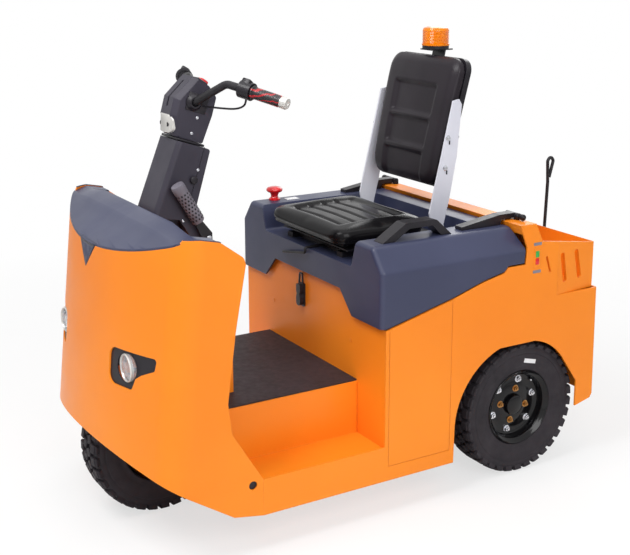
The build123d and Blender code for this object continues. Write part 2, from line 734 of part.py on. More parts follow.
def hinges():
    y_low, y_high = HINGE_Y - STRAP_W / 2, HINGE_Y + STRAP_W / 2
    side = ((200, SHOULDER_Z), (200, SHOULDER_Z + 10), (60, HINGE_Z + 9), (0, HINGE_Z + HINGE_R),
            (0, HINGE_Z - 6), (52, HINGE_Z - 6), (60, SHOULDER_Z))
    hub = across(0, y_high, HINGE_Z)
    with BuildPart() as strap:
        slab(side, y_low, y_high)
        disc(hub, HINGE_R, STRAP_W)
        disc(hub, HINGE_PIN_R + FIT, STRAP_W, Mode.SUBTRACT)
    save_both(strap, "hinge_straps")
    with BuildPart() as bracket:
        for y in (y_low - FIT - EAR_T, y_high + FIT):
            slab(((-HINGE_R, BEAM_Z), (HINGE_R, BEAM_Z), (HINGE_R, HINGE_Z + HINGE_R, 8),
                  (-HINGE_R, HINGE_Z + HINGE_R, 8)), y, y + EAR_T)
        disc(across(0, y_high + FIT + EAR_T + 6, HINGE_Z), HINGE_PIN_R, STRAP_W + 2 * (FIT + EAR_T) + 12)
    save_both(bracket, "hinge_brackets")


def hood_fittings():
    with BuildPart() as handle:
        y_low, y_high = 298, 342
        slab(((484, SHOULDER_Z), (405, 824, 20), (300, 824, 20), (246, SHOULDER_Z)), y_low, y_high)
        slab(((444, SHOULDER_Z - 1), (392, 807, 10), (312, 807, 10), (280, SHOULDER_Z - 1)), y_low, y_high,
             Mode.SUBTRACT)
    save(handle, "grab_handle")
    with BuildPart() as stop:
        disc(level(454, -330, SHOULDER_Z), 20, 6)
        disc(level(454, -330, SHOULDER_Z + 6), 13, 20)
        disc(level(454, -330, SHOULDER_Z + 26), 27, 18)
    save(stop, "emergency_stop")
    with BuildPart() as latch:
        front_slab(((-60, 500, 8), (-30, 500, 8), (-30, 574, 4), (-60, 574, 4)), BOX_FRONT, BOX_FRONT + 4)
        front_slab(((-57, 504, 11), (-33, 504, 11), (-33, 530), (-37, 540), (-33, 550), (-33, 572, 6), (-57, 572, 6),
                    (-57, 550), (-53, 540), (-57, 530)), BOX_FRONT + 4, BOX_FRONT + 18)
        front_slab(((-59, 566), (-31, 566), (-36, 607, 6), (-54, 607, 6)), BOX_FRONT + 5, BOX_FRONT + 9)
        front_slab(((-54, 574), (-36, 574), (-40, 602), (-50, 602)), BOX_FRONT + 4, BOX_FRONT + 10, Mode.SUBTRACT)
    save(latch, "hood_latch")


# Seat

def back_plane(offset):
    """Plane of the backrest's rear face, moved forward by the offset; its y climbs the backrest."""
    lean = radians(BACK_LEAN)
    ahead = Vector(cos(lean), 0, sin(lean))
    foot = Vector(REAR_AXLE_X + BACK_FOOT[0], 0, BACK_FOOT[1])
    return Plane(origin=foot + ahead * offset, x_dir=(0, 1, 0), z_dir=ahead)


def seat():
    with BuildPart() as rail:
        for y in (-160, 130):
            block(190, 500, y, y + 30, WELL_Z, WELL_Z + RAIL_Z)
        block(455, 475, -130, 130, WELL_Z, WELL_Z + 10)
        lever = ((465, 17, 702), (541, 17, 702), (541, 17, 686), (541, -118, 660))
        with BuildLine() as path:
            FilletPolyline(*[(REAR_AXLE_X + x, y, z) for x, y, z in lever], radius=7)
        with BuildSketch(Plane(origin=path.line @ 0, z_dir=path.line % 0)):
            Circle(LEVER_R)
        sweep()
    save(rail, "seat_rails")
    pan_z = WELL_Z + PAN_Z
    with BuildPart() as pan:
        block(150, 500, -BRACKET_Y, BRACKET_Y, pan_z, pan_z + PAN_T)
        for y in (-155, 135):
            block(200, 480, y, y + 20, WELL_Z + RAIL_Z + FIT, pan_z)
        block(SEAT_X[0] + 20, SEAT_X[1] - 60, -150, 150, pan_z + PAN_T, SEAT_Z[0] - FIT)
    save(pan, "seat_pan")
    with BuildPart() as cushion:
        slab(((SEAT_X[0], SEAT_Z[0]), (SEAT_X[1], SEAT_Z[0]), (SEAT_X[1], SEAT_Z[1] - 16), (SEAT_X[0], SEAT_Z[1] + 8)),
             -SEAT_HALF, SEAT_HALF)
        plan = tuple((x, y, SEAT_CORNER_R) for x, y in ((SEAT_X[0], -SEAT_HALF), (SEAT_X[1], -SEAT_HALF),
                                                        (SEAT_X[1], SEAT_HALF), (SEAT_X[0], SEAT_HALF)))
        plan_slab(plan, SEAT_Z[0] - 1, SEAT_Z[1] + 20, Mode.INTERSECT)
        fillet(cushion.faces().sort_by(Axis.Z)[-1].edges(), PAD_EDGE_R)
    save(cushion, "seat_cushion")
    foot, head = BACK_HALF
    with BuildPart() as shell:
        extrude(outline(back_plane(0), mirrored(((foot, 0, 25), (head, BACK_HEIGHT, 40)))), amount=SHELL_T)
        for height in (60, 160):
            spot = back_plane(SHELL_T / 2).origin + back_plane(0).y_dir * height
            disc(across(spot.X - REAR_AXLE_X, BRACKET_Y, spot.Z), 8, 2 * BRACKET_Y)
    save(shell, "backrest_shell")
    with BuildPart() as pad:
        corners = mirrored(((foot, 3, 25), (head, BACK_HEIGHT - 3, 40)))
        extrude(outline(back_plane(SHELL_T + FIT), corners), amount=BACK_T)
        fillet(pad.faces().sort_by(Axis((0, 0, 0), back_plane(0).z_dir))[-1].edges(), PAD_EDGE_R)
    save(pad, "backrest_cushion")
    side = ((200, pan_z), (150, pan_z), (162, 763), (143, 836), (118, 967), (104, 1120), (114, 1136), (136, 1132),
            (139, 1118), (173, 972), (200, 862), (214, 800))
    with BuildPart() as bracket:
        slab(side, BRACKET_Y, BRACKET_Y + BRACKET_T)
    save_both(bracket, "backrest_brackets")


def beacon():
    rear = lambda z: BACK_FOOT[0] - (z - BACK_FOOT[1]) * tan(radians(BACK_LEAN)) - FIT
    with BuildPart() as base:
        disc(level(BEACON_X, 0, BEACON_Z), 41, 10)
        block(BEACON_X - 44, BEACON_X + 36, -30, 30, BEACON_Z - 4, BEACON_Z)
        slab(((rear(1266), 1266), (rear(1180), 1180), (rear(1180) - 5, 1180), (rear(1266) - 5, 1266)), -30, 30)
    save(base, "beacon_base")
    with BuildPart() as lens:
        disc(level(BEACON_X, 0, BEACON_Z + 10), 43, 58)
        fillet(lens.faces().sort_by(Axis.Z)[-1].edges(), radius=10)
    save(lens, "beacon_lens")


# Inching switch on the left post, coupling and tow pin

def switch():
    with BuildPart() as plate:
        slab(((-36, 650, 8), (-8, 650, 8), (-8, 712, 8), (-36, 712, 8)), HALF, HALF + 0.5)
    save(plate, "inching_switch")


def coupling():
    back = TAIL_X - 12
    with BuildPart() as jaw:
        block(back, TAIL_X, -90, 90, 270, 450)
        for z in JAW_Z:
            plan_slab(((-TAIL, -COUPLING_HALF, 30), (-TAIL, COUPLING_HALF, 30), (back, COUPLING_HALF),
                       (back, -COUPLING_HALF)), z, z + JAW_T)
        block(back - 40, back, -COUPLING_HALF, -COUPLING_HALF + 12, JAW_Z[0], JAW_Z[-1] + JAW_T)
        block(back - 40, back, COUPLING_HALF - 12, COUPLING_HALF, JAW_Z[0], JAW_Z[-1] + JAW_T)
        disc(level(PIN_X, 0, 200), PIN_R + 1, 400, Mode.SUBTRACT)
    save(jaw, "coupling")
    top = JAW_Z[-1] + JAW_T + FIT
    rod = [(PIN_X, 0, top + 20), (PIN_X - 14, 0, 800), (PIN_X - 10, 0, 872), (PIN_X - 22, 0, 889),
           (PIN_X - 35, 0, 872), (PIN_X - 19, 0, 815)]
    rod = [(REAR_AXLE_X + x, y, z) for x, y, z in rod]
    with BuildPart() as pin:
        disc(level(PIN_X, 0, JAW_Z[0] - 10), PIN_R, top - JAW_Z[0] + 10)
        disc(level(PIN_X, 0, top), PIN_R + 7, 8)
        disc(level(PIN_X, 0, top + 8), PIN_R - 3, 18)
        with BuildLine() as path:
            FilletPolyline(*rod, radius=9)
        with BuildSketch(Plane(origin=path.line @ 0, z_dir=path.line % 0)):
            Circle(PIN_ROD_R)
        sweep()
    save(pin, "tow_pin")


os.makedirs("parts", exist_ok=True)
side_panels()
bulkhead()
cross_beam()
tray()
step_frame()
wheel_housing()
apron()
headlamps()
running_gear()
for name, x, y in (("front", WHEELBASE, 0), ("rear_left", 0, TRACK / 2), ("rear_right", 0, -TRACK / 2)):
    wheel(name, x, y)
fork()
column()
steering_head()
brake()
hood()
hinges()
hood_fittings()
seat()
beacon()
switch()
coupling()
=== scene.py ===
from math import cos, pi, radians, sin, tau

import bmesh
import bpy
from mathutils import Matrix, Vector
from mathutils.bvhtree import BVHTree


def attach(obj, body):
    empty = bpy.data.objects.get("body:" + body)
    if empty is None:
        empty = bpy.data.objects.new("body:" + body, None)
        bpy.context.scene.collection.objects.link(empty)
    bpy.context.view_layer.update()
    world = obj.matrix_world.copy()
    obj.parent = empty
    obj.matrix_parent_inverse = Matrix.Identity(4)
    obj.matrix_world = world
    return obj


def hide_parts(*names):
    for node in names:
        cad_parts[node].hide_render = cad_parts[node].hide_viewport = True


# The looks of a three-wheeled electric tow tractor: finishes, padding, tyre blocks, fasteners and small trim
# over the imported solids. Metres, in the solids' own frame.
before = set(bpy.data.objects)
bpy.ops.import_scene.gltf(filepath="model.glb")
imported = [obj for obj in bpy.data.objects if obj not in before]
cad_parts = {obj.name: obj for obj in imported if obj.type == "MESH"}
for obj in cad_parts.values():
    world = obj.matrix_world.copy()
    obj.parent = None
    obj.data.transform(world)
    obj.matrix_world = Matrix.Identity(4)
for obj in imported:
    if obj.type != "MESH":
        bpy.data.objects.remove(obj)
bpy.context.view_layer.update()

REAR_AXLE = -0.405
FRONT_AXLE = 0.625
AXLE_Z = 0.2075
TRACK_HALF = 0.33
LEAN = radians(18.5)  # of the steering column
BACK_LEAN = radians(13.0)


def at(x, y, z):
    """A point given in millimetres, its x forward of the rear axle."""
    return Vector((REAR_AXLE + x / 1000, y / 1000, z / 1000))


# Materials

def linear(code):
    """The linear colour of an sRGB hex code."""
    parts = [int(code[i:i + 2], 16) / 255 for i in (1, 3, 5)]
    return tuple(c / 12.92 if c <= 0.04045 else ((c + 0.055) / 1.055) ** 2.4 for c in parts) + (1.0,)


def add_node(tree, kind, inputs=None, **settings):
    """Adds a shader node with its settings; its inputs are values or the sockets that feed them."""
    node = tree.nodes.new("ShaderNode" + kind)
    for key, value in settings.items():
        setattr(node, key, value)
    for key, value in (inputs or {}).items():
        if isinstance(value, bpy.types.NodeSocket):
            tree.links.new(value, node.inputs[key])
        else:
            node.inputs[key].default_value = value
    return node


def surface(name, light, dark, patch_mm, rough, grain_mm, depth_mm, cells=False, stretch=(1, 1, 1), edge_mm=0.0,
            **sockets):
    """A material that drifts between two colours over patch_mm, with a grain of grain_mm that is depth_mm deep,
    a roughness that wanders between two values, and edges that catch the light over edge_mm."""
    material = bpy.data.materials.new(name)
    material.use_nodes = True
    tree = material.node_tree
    shader = tree.nodes["Principled BSDF"]
    for key, value in sockets.items():
        shader.inputs[key.replace("_", " ")].default_value = value
    place = add_node(tree, "TexCoord").outputs["Object"]
    along = add_node(tree, "Mapping", {"Vector": place, "Scale": stretch}).outputs["Vector"]
    patch = add_node(tree, "TexNoise", {"Vector": along, "Scale": 1000 / patch_mm, "Detail": 4.0}).outputs["Fac"]
    drift = add_node(tree, "MapRange", {"Value": patch, "From Min": 0.35, "From Max": 0.65}).outputs["Result"]
    tint = add_node(tree, "Mix", {0: drift, 6: linear(dark), 7: linear(light)}, data_type="RGBA")
    tree.links.new(tint.outputs[2], shader.inputs["Base Color"])
    wear = add_node(tree, "TexNoise", {"Vector": along, "Scale": 3300 / patch_mm, "Detail": 3.0}).outputs["Fac"]
    sheen = add_node(tree, "MapRange", {"Value": wear, "From Min": 0.3, "From Max": 0.7, "To Min": rough[0],
                                        "To Max": rough[1]})
    tree.links.new(sheen.outputs["Result"], shader.inputs["Roughness"])
    if cells:
        grain = add_node(tree, "TexVoronoi", {"Vector": along, "Scale": 1000 / grain_mm}).outputs["Distance"]
    else:
        grain = add_node(tree, "TexNoise", {"Vector": along, "Scale": 1000 / grain_mm, "Detail": 2.0}).outputs["Fac"]
    bump = add_node(tree, "Bump", {"Height": grain, "Distance": depth_mm / 1000, "Strength": 1.0})
    if edge_mm:
        rounded = add_node(tree, "Bevel", {"Radius": edge_mm / 1000}, samples=4)
        tree.links.new(rounded.outputs["Normal"], bump.inputs["Normal"])
    tree.links.new(bump.outputs["Normal"], shader.inputs["Normal"])
    return material


# Powder-coated sheet steel: an even semi-gloss orange with faint orange peel and soft folded edges.
ORANGE = surface("powder_coated_steel_orange", "#F48B20", "#EE831B", 500, (0.34, 0.42), 6, 0.02, edge_mm=2.5,
                 Specular_IOR_Level=0.25)
# Vacuum-formed ABS sheet: slate blue, satin, with a fine moulded grain and broad radii that catch the light.
SLATE = surface("formed_abs_slate", "#3A3E57", "#33374F", 350, (0.3, 0.42), 5, 0.04, edge_mm=4.5,
                Specular_IOR_Level=0.35)
# Fine-textured powder coat: the column's charcoal with a violet cast, matt and slightly sandy.
CHARCOAL = surface("textured_powder_coat_charcoal", "#36333E", "#2E2B36", 220, (0.42, 0.52), 4, 0.05, edge_mm=4.0,
                   Specular_IOR_Level=0.3)
# Leathercloth over foam: near-black, glossy where it is stretched, with a pebble grain (coarser than the real
# 1 mm, which would not show).
VINYL = surface("leathercloth_black", "#111012", "#0C0B0D", 160, (0.16, 0.26), 4.5, 0.04, cells=True,
                Specular_IOR_Level=0.12)
# Integral-skin polyurethane: the backrest's brown-black skin, softer in gloss than the seat.
SKIN_FOAM = surface("integral_skin_foam_black", "#241F25", "#1C181D", 180, (0.34, 0.44), 5, 0.06, cells=True,
                    Specular_IOR_Level=0.2)
# Solid tyre rubber: charcoal, dry and dusty, duller on the blocks.
TYRE = surface("solid_tyre_rubber", "#2B262B", "#211D22", 90, (0.6, 0.78), 7, 0.25, Specular_IOR_Level=0.3)
# Black enamel on pressed steel: deep and wet-looking, it mirrors the floor.
ENAMEL = surface("black_enamel_steel", "#0E0D10", "#0A090B", 120, (0.1, 0.18), 40, 0.05, Coat_Weight=0.08,
                 Coat_Roughness=0.06, Specular_IOR_Level=0.25)
# Black semi-gloss paint on frame steel, a little dusty.
FRAME_PAINT = surface("frame_paint_black", "#222024", "#19181B", 150, (0.38, 0.55), 8, 0.06, edge_mm=1.5,
                      Specular_IOR_Level=0.3)
# Glass-filled nylon: the black of handles, straps and housings, satin with a fine grain.
NYLON = surface("moulded_nylon_black", "#211E24", "#19171C", 80, (0.3, 0.42), 4, 0.04, edge_mm=2.0,
                Specular_IOR_Level=0.3)
# Ribbed anti-slip rubber: brown-black, quite matt, with a coarse leather print.
MAT = surface("floor_rubber_brown_black", "#32282C", "#282023", 60, (0.55, 0.7), 7, 0.3, cells=True,
              Specular_IOR_Level=0.3)
# Zinc-plated mild steel: cool pale grey with a faint rolled grain along its length.
ZINC = surface("zinc_plated_steel", "#E0E1EA", "#D2D3DE", 120, (0.36, 0.48), 3, 0.02, stretch=(1, 1, 0.15),
               Metallic=0.12)
# Bright zinc on nuts and screws: small, shiny and slightly uneven.
BRIGHT = surface("bright_zinc_fastener", "#D6D7DB", "#BDBEC4", 20, (0.18, 0.3), 4, 0.03, Metallic=1.0)
# Yellow-passivated zinc, bronze-coloured on the hub nuts.
BRONZE = surface("passivated_zinc_fastener", "#B78A52", "#96683C", 15, (0.25, 0.38), 4, 0.03, Metallic=1.0)
# Die-cast zinc with a satin silver paint: the saddle plate and the grips' end caps.
SATIN_SILVER = surface("satin_silver_die_casting", "#D2D0CC", "#C2C0BC", 40, (0.28, 0.38), 3, 0.02, Metallic=0.45)
# Cast iron with black paint: the coupling, fork, axle and drive, lumpy from the sand mould.
CAST = surface("painted_cast_iron", "#2C2A2D", "#201F22", 70, (0.5, 0.68), 6, 0.3)
# Glossy red moulding of the stop button.
RED = surface("gloss_red_abs", "#D80F18", "#C00A12", 40, (0.14, 0.22), 30, 0.02, Coat_Weight=0.3, Coat_Roughness=0.08)
# Green moulding of the second rocker.
GREEN = surface("satin_green_abs", "#2FA84A", "#27943F", 20, (0.3, 0.4), 20, 0.02)
# Thermoplastic rubber of the brake grip: dull violet grey.
GREY_GRIP = surface("soft_grip_grey", "#726E78", "#625E68", 40, (0.55, 0.68), 4, 0.1)
# Satin grey ABS of the plates beside the rockers.
PLATE = surface("satin_grey_abs_plate", "#85828A", "#7A7780", 30, (0.35, 0.45), 6, 0.02)
# Blank white adhesive film.
LABEL = surface("blank_label_film", "#E9E9EA", "#DEDEE0", 30, (0.32, 0.4), 10, 0.01)
# Ribbed polypropylene of the battery case.
BATTERY_CASE = surface("battery_case_grey", "#4C4E52", "#404246", 100, (0.45, 0.55), 5, 0.05)


def streaked_grip():
    """Two-colour rubber grip: red streaks that run along it through the black, about 13 mm apart."""
    material = surface("streaked_grip_rubber", "#221E21", "#1B181B", 30, (0.32, 0.44), 4, 0.05)
    tree = material.node_tree
    shader = tree.nodes["Principled BSDF"]
    base = shader.inputs["Base Color"].links[0].from_socket
    place = add_node(tree, "TexCoord").outputs["Object"]
    streak = add_node(tree, "TexWave", {"Vector": place, "Scale": 24.0, "Distortion": 7.0, "Detail": 1.0,
                                        "Detail Scale": 1.2}, bands_direction="Z").outputs["Fac"]
    edge = add_node(tree, "MapRange", {"Value": streak, "From Min": 0.76, "From Max": 0.86}).outputs["Result"]
    tint = add_node(tree, "Mix", {0: edge, 6: base, 7: linear("#A3151F")}, data_type="RGBA")
    tree.links.new(tint.outputs[2], shader.inputs["Base Color"])
    return material


def amber_lens():
    """Amber polycarbonate of the beacon: clear and saturated, with a faint painted glow that makes it brighter inside
    its ribs.
    """
    material = surface("amber_polycarbonate", "#F48A08", "#E97A04", 25, (0.12, 0.2), 12, 0.05,
                       Transmission_Weight=0.2, IOR=1.5, Specular_IOR_Level=0.3)
    shader = material.node_tree.nodes["Principled BSDF"]
    # Faint emission: a painted glow that stands in for light caught in the amber plastic.
    shader.inputs["Emission Color"].default_value = linear("#FF8A10")
    shader.inputs["Emission Strength"].default_value = 0.06
    return material


def clear_lens():
    """Clear polycarbonate of the headlamps over a bright reflector."""
    return surface("clear_lamp_lens", "#E9EEF2", "#D6DCE2", 12, (0.03, 0.08), 6, 0.3, cells=True,
                   Transmission_Weight=0.75, IOR=1.58)


GRIP = streaked_grip()
AMBER = amber_lens()
LENS = clear_lens()

NODE_FINISHES = {
    ORANGE: "side_panel_left side_panel_right side_door_left side_door_right front_wall cross_beam tray rear_plate "
            "step_frame apron wheel_housing inching_switch",
    SLATE: "hood front_cap",
    CHARCOAL: "column_cover column_post steering_head",
    SATIN_SILVER: "head_trim",
    NYLON: "grab_handle hinge_straps hinge_brackets throttle_housings throttle_cable beacon_base hood_latch "
           "lamp_backings grips backrest_shell",
    FRAME_PAINT: "main_frame seat_rails seat_pan handlebar brake_lever tow_pin",
    CAST: "coupling fork rear_axle drive_unit",
    ZINC: "backrest_brackets",
    MAT: "floor_mat",
    BATTERY_CASE: "battery",
    TYRE: "tyre_front tyre_rear_left tyre_rear_right",
    ENAMEL: "rim_front rim_rear_left rim_rear_right",
    VINYL: "seat_cushion",
    SKIN_FOAM: "backrest_cushion",
    RED: "emergency_stop",
    GREY_GRIP: "brake_grip",
    AMBER: "beacon_lens",
    LENS: "headlamps",
}
for finish, names in NODE_FINISHES.items():
    for node_name in names.split():
        node_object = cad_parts[node_name]
        if not node_object.material_slots:
            node_object.data.materials.append(finish)
        for material_slot in node_object.material_slots:
            material_slot.material = finish


# Mesh helpers

def piece(name, bm, materials, body, smooth=35):
    """Makes a finished bmesh an object that rides on a body."""
    bmesh.ops.remove_doubles(bm, verts=bm.verts, dist=1e-6)
    bmesh.ops.recalc_face_normals(bm, faces=bm.faces)
    mesh = bpy.data.meshes.new(name)
    bm.to_mesh(mesh)
    bm.free()
    for material in materials:
        mesh.materials.append(material)
    mesh.shade_smooth()
    mesh.set_sharp_from_angle(angle=radians(smooth))
    obj = bpy.data.objects.new(name, mesh)
    bpy.context.scene.collection.objects.link(obj)
    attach(obj, body)
    return obj


def facing(axis):
    """Rotation that turns Z to the axis."""
    return Vector((0, 0, 1)).rotation_difference(Vector(axis)).to_matrix().to_4x4()


def spun(bm, rows, centre, axis, steps=64, closed=False, material=0):
    """Turns rows of (radius, distance along the axis) into a round shape."""
    place = Matrix.Translation(centre) @ facing(axis)
    verts = [bm.verts.new(place @ Vector((radius, 0, along))) for radius, along in rows]
    edges = [bm.edges.new(pair) for pair in zip(verts, verts[1:])]
    if closed:
        edges.append(bm.edges.new((verts[-1], verts[0])))
    before = set(bm.faces)
    bmesh.ops.spin(bm, geom=verts + edges, cent=centre, axis=axis, angle=tau, steps=steps, use_merge=True)
    for face in set(bm.faces) - before:
        face.material_index = material


def block(bm, place, size, bevel=0.0, segments=2, material=0):
    """A box of the given size at the place, its edges bevelled."""
    shape = bmesh.ops.create_cube(bm, size=1, matrix=place @ Matrix.Diagonal((*size, 1)))
    corners = set(shape["verts"])
    if bevel:
        edges = {e for v in corners for e in v.link_edges}
        result = bmesh.ops.bevel(bm, geom=list(edges), offset=bevel, affect="EDGES", segments=segments, profile=0.5,
                                 material=-1)
        corners = set(result["verts"])
    for face in {f for v in corners for f in v.link_faces}:
        face.material_index = material


def rod(bm, centre, axis, radius, height, sides=32, bevel=0.0, material=0):
    """A round or many-sided bar that starts at the centre and runs along the axis."""
    place = Matrix.Translation(Vector(centre) + Vector(axis).normalized() * height / 2) @ facing(axis)
    shape = bmesh.ops.create_cone(bm, cap_ends=True, segments=sides, radius1=radius, radius2=radius, depth=height,
                                  matrix=place)
    corners = set(shape["verts"])
    if bevel:
        caps = {f for v in corners for f in v.link_faces if len(f.verts) == sides}
        edges = {e for f in caps for e in f.edges}
        result = bmesh.ops.bevel(bm, geom=list(edges), offset=bevel, affect="EDGES", segments=2, profile=0.5,
                                 material=-1)
        corners |= set(result["verts"])
    for face in {f for v in corners if v.is_valid for f in v.link_faces}:
        face.material_index = material


# Wheels

TREAD_PITCH = 34  # blocks round a tyre
# Half of a tyre's section, from the tread's middle to the bead: radius, distance from the middle of the width
TYRE_SECTION = ((0.1985, 0), (0.1985, 0.044), (0.195, 0.0505), (0.189, 0.0535), (0.176, 0.0552), (0.1745, 0.0545),
                (0.1715, 0.0545), (0.170, 0.0556), (0.152, 0.0556), (0.136, 0.053), (0.127, 0.0505), (0.1245, 0.0512),
                (0.1195, 0.0505), (0.116, 0.047), (0.113, 0.040), (0.108, 0.036))
# Half of a rim's section, from the outer lip to the hub: radius, distance from the middle of the width
RIM_SECTION = ((0.107, 0.034), (0.114, 0.0455), (0.1165, 0.0505), (0.1145, 0.0528), (0.1125, 0.0505), (0.108, 0.046),
               (0.1035, 0.0435), (0.101, 0.0405), (0.0995, 0.030), (0.096, 0.0195), (0.090, 0.0165), (0.070, 0.0165),
               (0.066, 0.0185), (0.034, 0.0185), (0.032, 0.0265), (0.030, 0.031), (0.024, 0.0335), (0.0, 0.0345))


def tyre(name, centre, body):
    """Solid tyre: its carcass, and staggered rows of shoulder, flank and middle blocks."""
    bm = bmesh.new()
    far_half = [(radius, -off) for radius, off in reversed(TYRE_SECTION[1:])]
    spun(bm, far_half + list(TYRE_SECTION), centre, (0, 1, 0), steps=96, closed=True)
    step = tau / TREAD_PITCH
    for number in range(TREAD_PITCH):
        for side, offset in ((1, 0.0), (-1, 0.5)):
            turn = Matrix.Translation(centre) @ Matrix.Rotation((number + offset) * step, 4, "Y")
            shoulder = turn @ Matrix.Translation((0, side * 0.0405, 0.2005)) @ Matrix.Rotation(side * -0.12, 4, "X")
            block(bm, shoulder, (0.0265, 0.0235, 0.0115), 0.0018, 1)
            flank = turn @ Matrix.Translation((0, side * 0.0515, 0.1925)) @ Matrix.Rotation(side * -0.5, 4, "X")
            block(bm, flank, (0.0245, 0.0075, 0.0215), 0.0016, 1)
            middle = turn @ Matrix.Rotation(step / 2, 4, "Y") @ Matrix.Translation((0, side * 0.0135, 0.2008))
            block(bm, middle @ Matrix.Rotation(side * 0.35, 4, "Z"), (0.0245, 0.0225, 0.0125), 0.0018, 1)
    obj = piece("tread_" + name, bm, [TYRE], body)
    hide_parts("tyre_" + name)


# Rings of nuts on a disc: radius, count, first angle in degrees, across the corners, finish (0 zinc, 1 bronze), and
# how far the disc's face lies from the middle of the width
NUT_RINGS = ((0.080, 6, 44, 0.0085, 0, 0.0165), (0.050, 4, 10, 0.0078, 1, 0.0185))


def rim(name, centre, body, sides):
    """Split rim with its hub cap; the nuts stand on the sides that show."""
    bm = bmesh.new()
    for side in (1, -1):
        spun(bm, RIM_SECTION, centre, (0, side, 0), steps=72)
    spun(bm, [(0.107, -0.034), (0.107, 0.034)], centre, (0, 1, 0), steps=72)
    obj = piece("wheel_disc_" + name, bm, [ENAMEL], body)
    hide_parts("rim_" + name)
    bm = bmesh.new()
    for side in sides:
        for radius, count, start, size, index, seat in NUT_RINGS:
            for number in range(count):
                angle = radians(start) + number * tau / count
                spot = Vector(centre) + Vector((cos(angle) * radius, side * seat, sin(angle) * radius))
                rod(bm, spot, (0, side, 0), size + 0.003, 0.0015, 24, 0.0004, index)
                rod(bm, spot, (0, side, 0), size, 0.0085, 6, 0.0012, index)
                rod(bm, spot, (0, side, 0), size * 0.5, 0.0125, 16, 0.0008, index)
        valve = Vector(centre) + Vector((-0.062, side * 0.0165, 0.069))
        rod(bm, valve, (0, side, 0), 0.0035, 0.014, 12, 0.001, 0)
    piece("wheel_nuts_" + name, bm, [BRIGHT, BRONZE], body)


# Name, centre, body, and the sides that show their nuts
WHEELS = (("rear_left", (REAR_AXLE, TRACK_HALF, AXLE_Z), "rear_wheel_left", (1,)),
          ("rear_right", (REAR_AXLE, -TRACK_HALF, AXLE_Z), "rear_wheel_right", (-1,)),
          ("front", (FRONT_AXLE, 0, AXLE_Z), "front_wheel", (1, -1)))
for wheel_name, middle_point, wheel_body, nut_sides in WHEELS:
    tyre(wheel_name, Vector(middle_point), wheel_body)
    rim(wheel_name, Vector(middle_point), wheel_body, nut_sides)

label_bm = bmesh.new()
block(label_bm, Matrix.Translation(at(-31, 385.3, 352)) @ Matrix.Rotation(radians(-14), 4, "Y"),
      (0.046, 0.0008, 0.013))
piece("tyre_label", label_bm, [LABEL], "rear_wheel_left")


# Padding

def swell(obj, voxel, pressure, cap, held):
    """Blows a pad up as cloth over its foam; points that held() keeps stay in their seams."""
    remesh = obj.modifiers.new("remesh", "REMESH")
    remesh.mode = "VOXEL"
    remesh.voxel_size = voxel
    graph = bpy.context.evaluated_depsgraph_get()
    mesh = bpy.data.meshes.new_from_object(obj.evaluated_get(graph))
    obj.modifiers.remove(remesh)
    obj.data = mesh
    rest = [v.co.copy() for v in mesh.vertices]
    group = obj.vertex_groups.new(name="held")
    group.add([i for i, co in enumerate(rest) if held(co)], 1.0, "REPLACE")
    cloth = obj.modifiers.new("cloth", "CLOTH")
    cloth.settings.quality = 6
    cloth.settings.use_pressure = True
    cloth.settings.uniform_pressure_force = pressure
    cloth.settings.tension_stiffness = 15
    cloth.settings.compression_stiffness = 15
    cloth.settings.bending_stiffness = 2
    cloth.settings.vertex_group_mass = "held"
    cloth.settings.effector_weights.gravity = 0
    cloth.collision_settings.use_collision = False
    for number in range(1, 21):
        bpy.context.scene.frame_set(number)
    graph = bpy.context.evaluated_depsgraph_get()
    blown = obj.evaluated_get(graph).to_mesh()
    for vertex, start, end in zip(mesh.vertices, rest, [v.co.copy() for v in blown.vertices]):
        move = end - start
        vertex.co = start + move * min(1, cap / max(move.length, 1e-9))
    obj.evaluated_get(graph).to_mesh_clear()
    obj.modifiers.remove(cloth)
    bpy.context.scene.frame_set(1)
    obj.vertex_groups.clear()


def soften(obj, rounds):
    """Eases the mesh so that its voxel steps go."""
    bm = bmesh.new()
    bm.from_mesh(obj.data)
    for _ in range(rounds):
        bmesh.ops.smooth_vert(bm, verts=bm.verts, factor=0.5, use_axis_x=True, use_axis_y=True, use_axis_z=True)
    bm.to_mesh(obj.data)
    bm.free()


def finish_pad(obj, material, body, node):
    """Gives a pad its finish and its body, and hides the node that it stands for."""
    obj.data.materials.clear()
    obj.data.materials.append(material)
    obj.data.shade_smooth()
    smooth = obj.modifiers.new("smooth", "SUBSURF")
    smooth.levels = smooth.render_levels = 1
    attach(obj, body)
    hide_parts(node)


def pad_object(name, bm):
    """Makes a bmesh the object that a pad starts from."""
    mesh = bpy.data.meshes.new(name)
    bmesh.ops.recalc_face_normals(bm, faces=bm.faces)
    bm.to_mesh(mesh)
    bm.free()
    obj = bpy.data.objects.new(name, mesh)
    bpy.context.scene.collection.objects.link(obj)
    return obj


def smoothstep(value):
    """Eases from 0 to 1 as the value does."""
    value = max(0.0, min(1.0, value))
    return value * value * (3 - 2 * value)


# The seat's top in its own square: u runs from the rear (0) to the front (1), v across from -1 to 1
SEAT_LOW, SEAT_HIGH = at(229, -209, 744), at(543, 209, 788)
SEAT_FLUTES = (0.34, 0.49, 0.64, 0.79)  # sewn grooves across the middle
SEAT_WELT = 0.7535  # height of the welt's seam above the floor
SEAT_TILT, SEAT_SINK = 0.007, 0.011  # how far the rear is raised, and the middle sunk
FLUTE_HALF, FLUTE_BOW, FLUTE_DEPTH = 0.024, 0.03, 0.006  # half width and bow in u, and depth
WELT_HALF, WELT_DEPTH = 0.0065, 0.0035


def seat_square(co):
    """The point's u and v on the seat."""
    u = (co.x - SEAT_LOW.x) / (SEAT_HIGH.x - SEAT_LOW.x)
    return u, 2 * (co.y - SEAT_LOW.y) / (SEAT_HIGH.y - SEAT_LOW.y) - 1


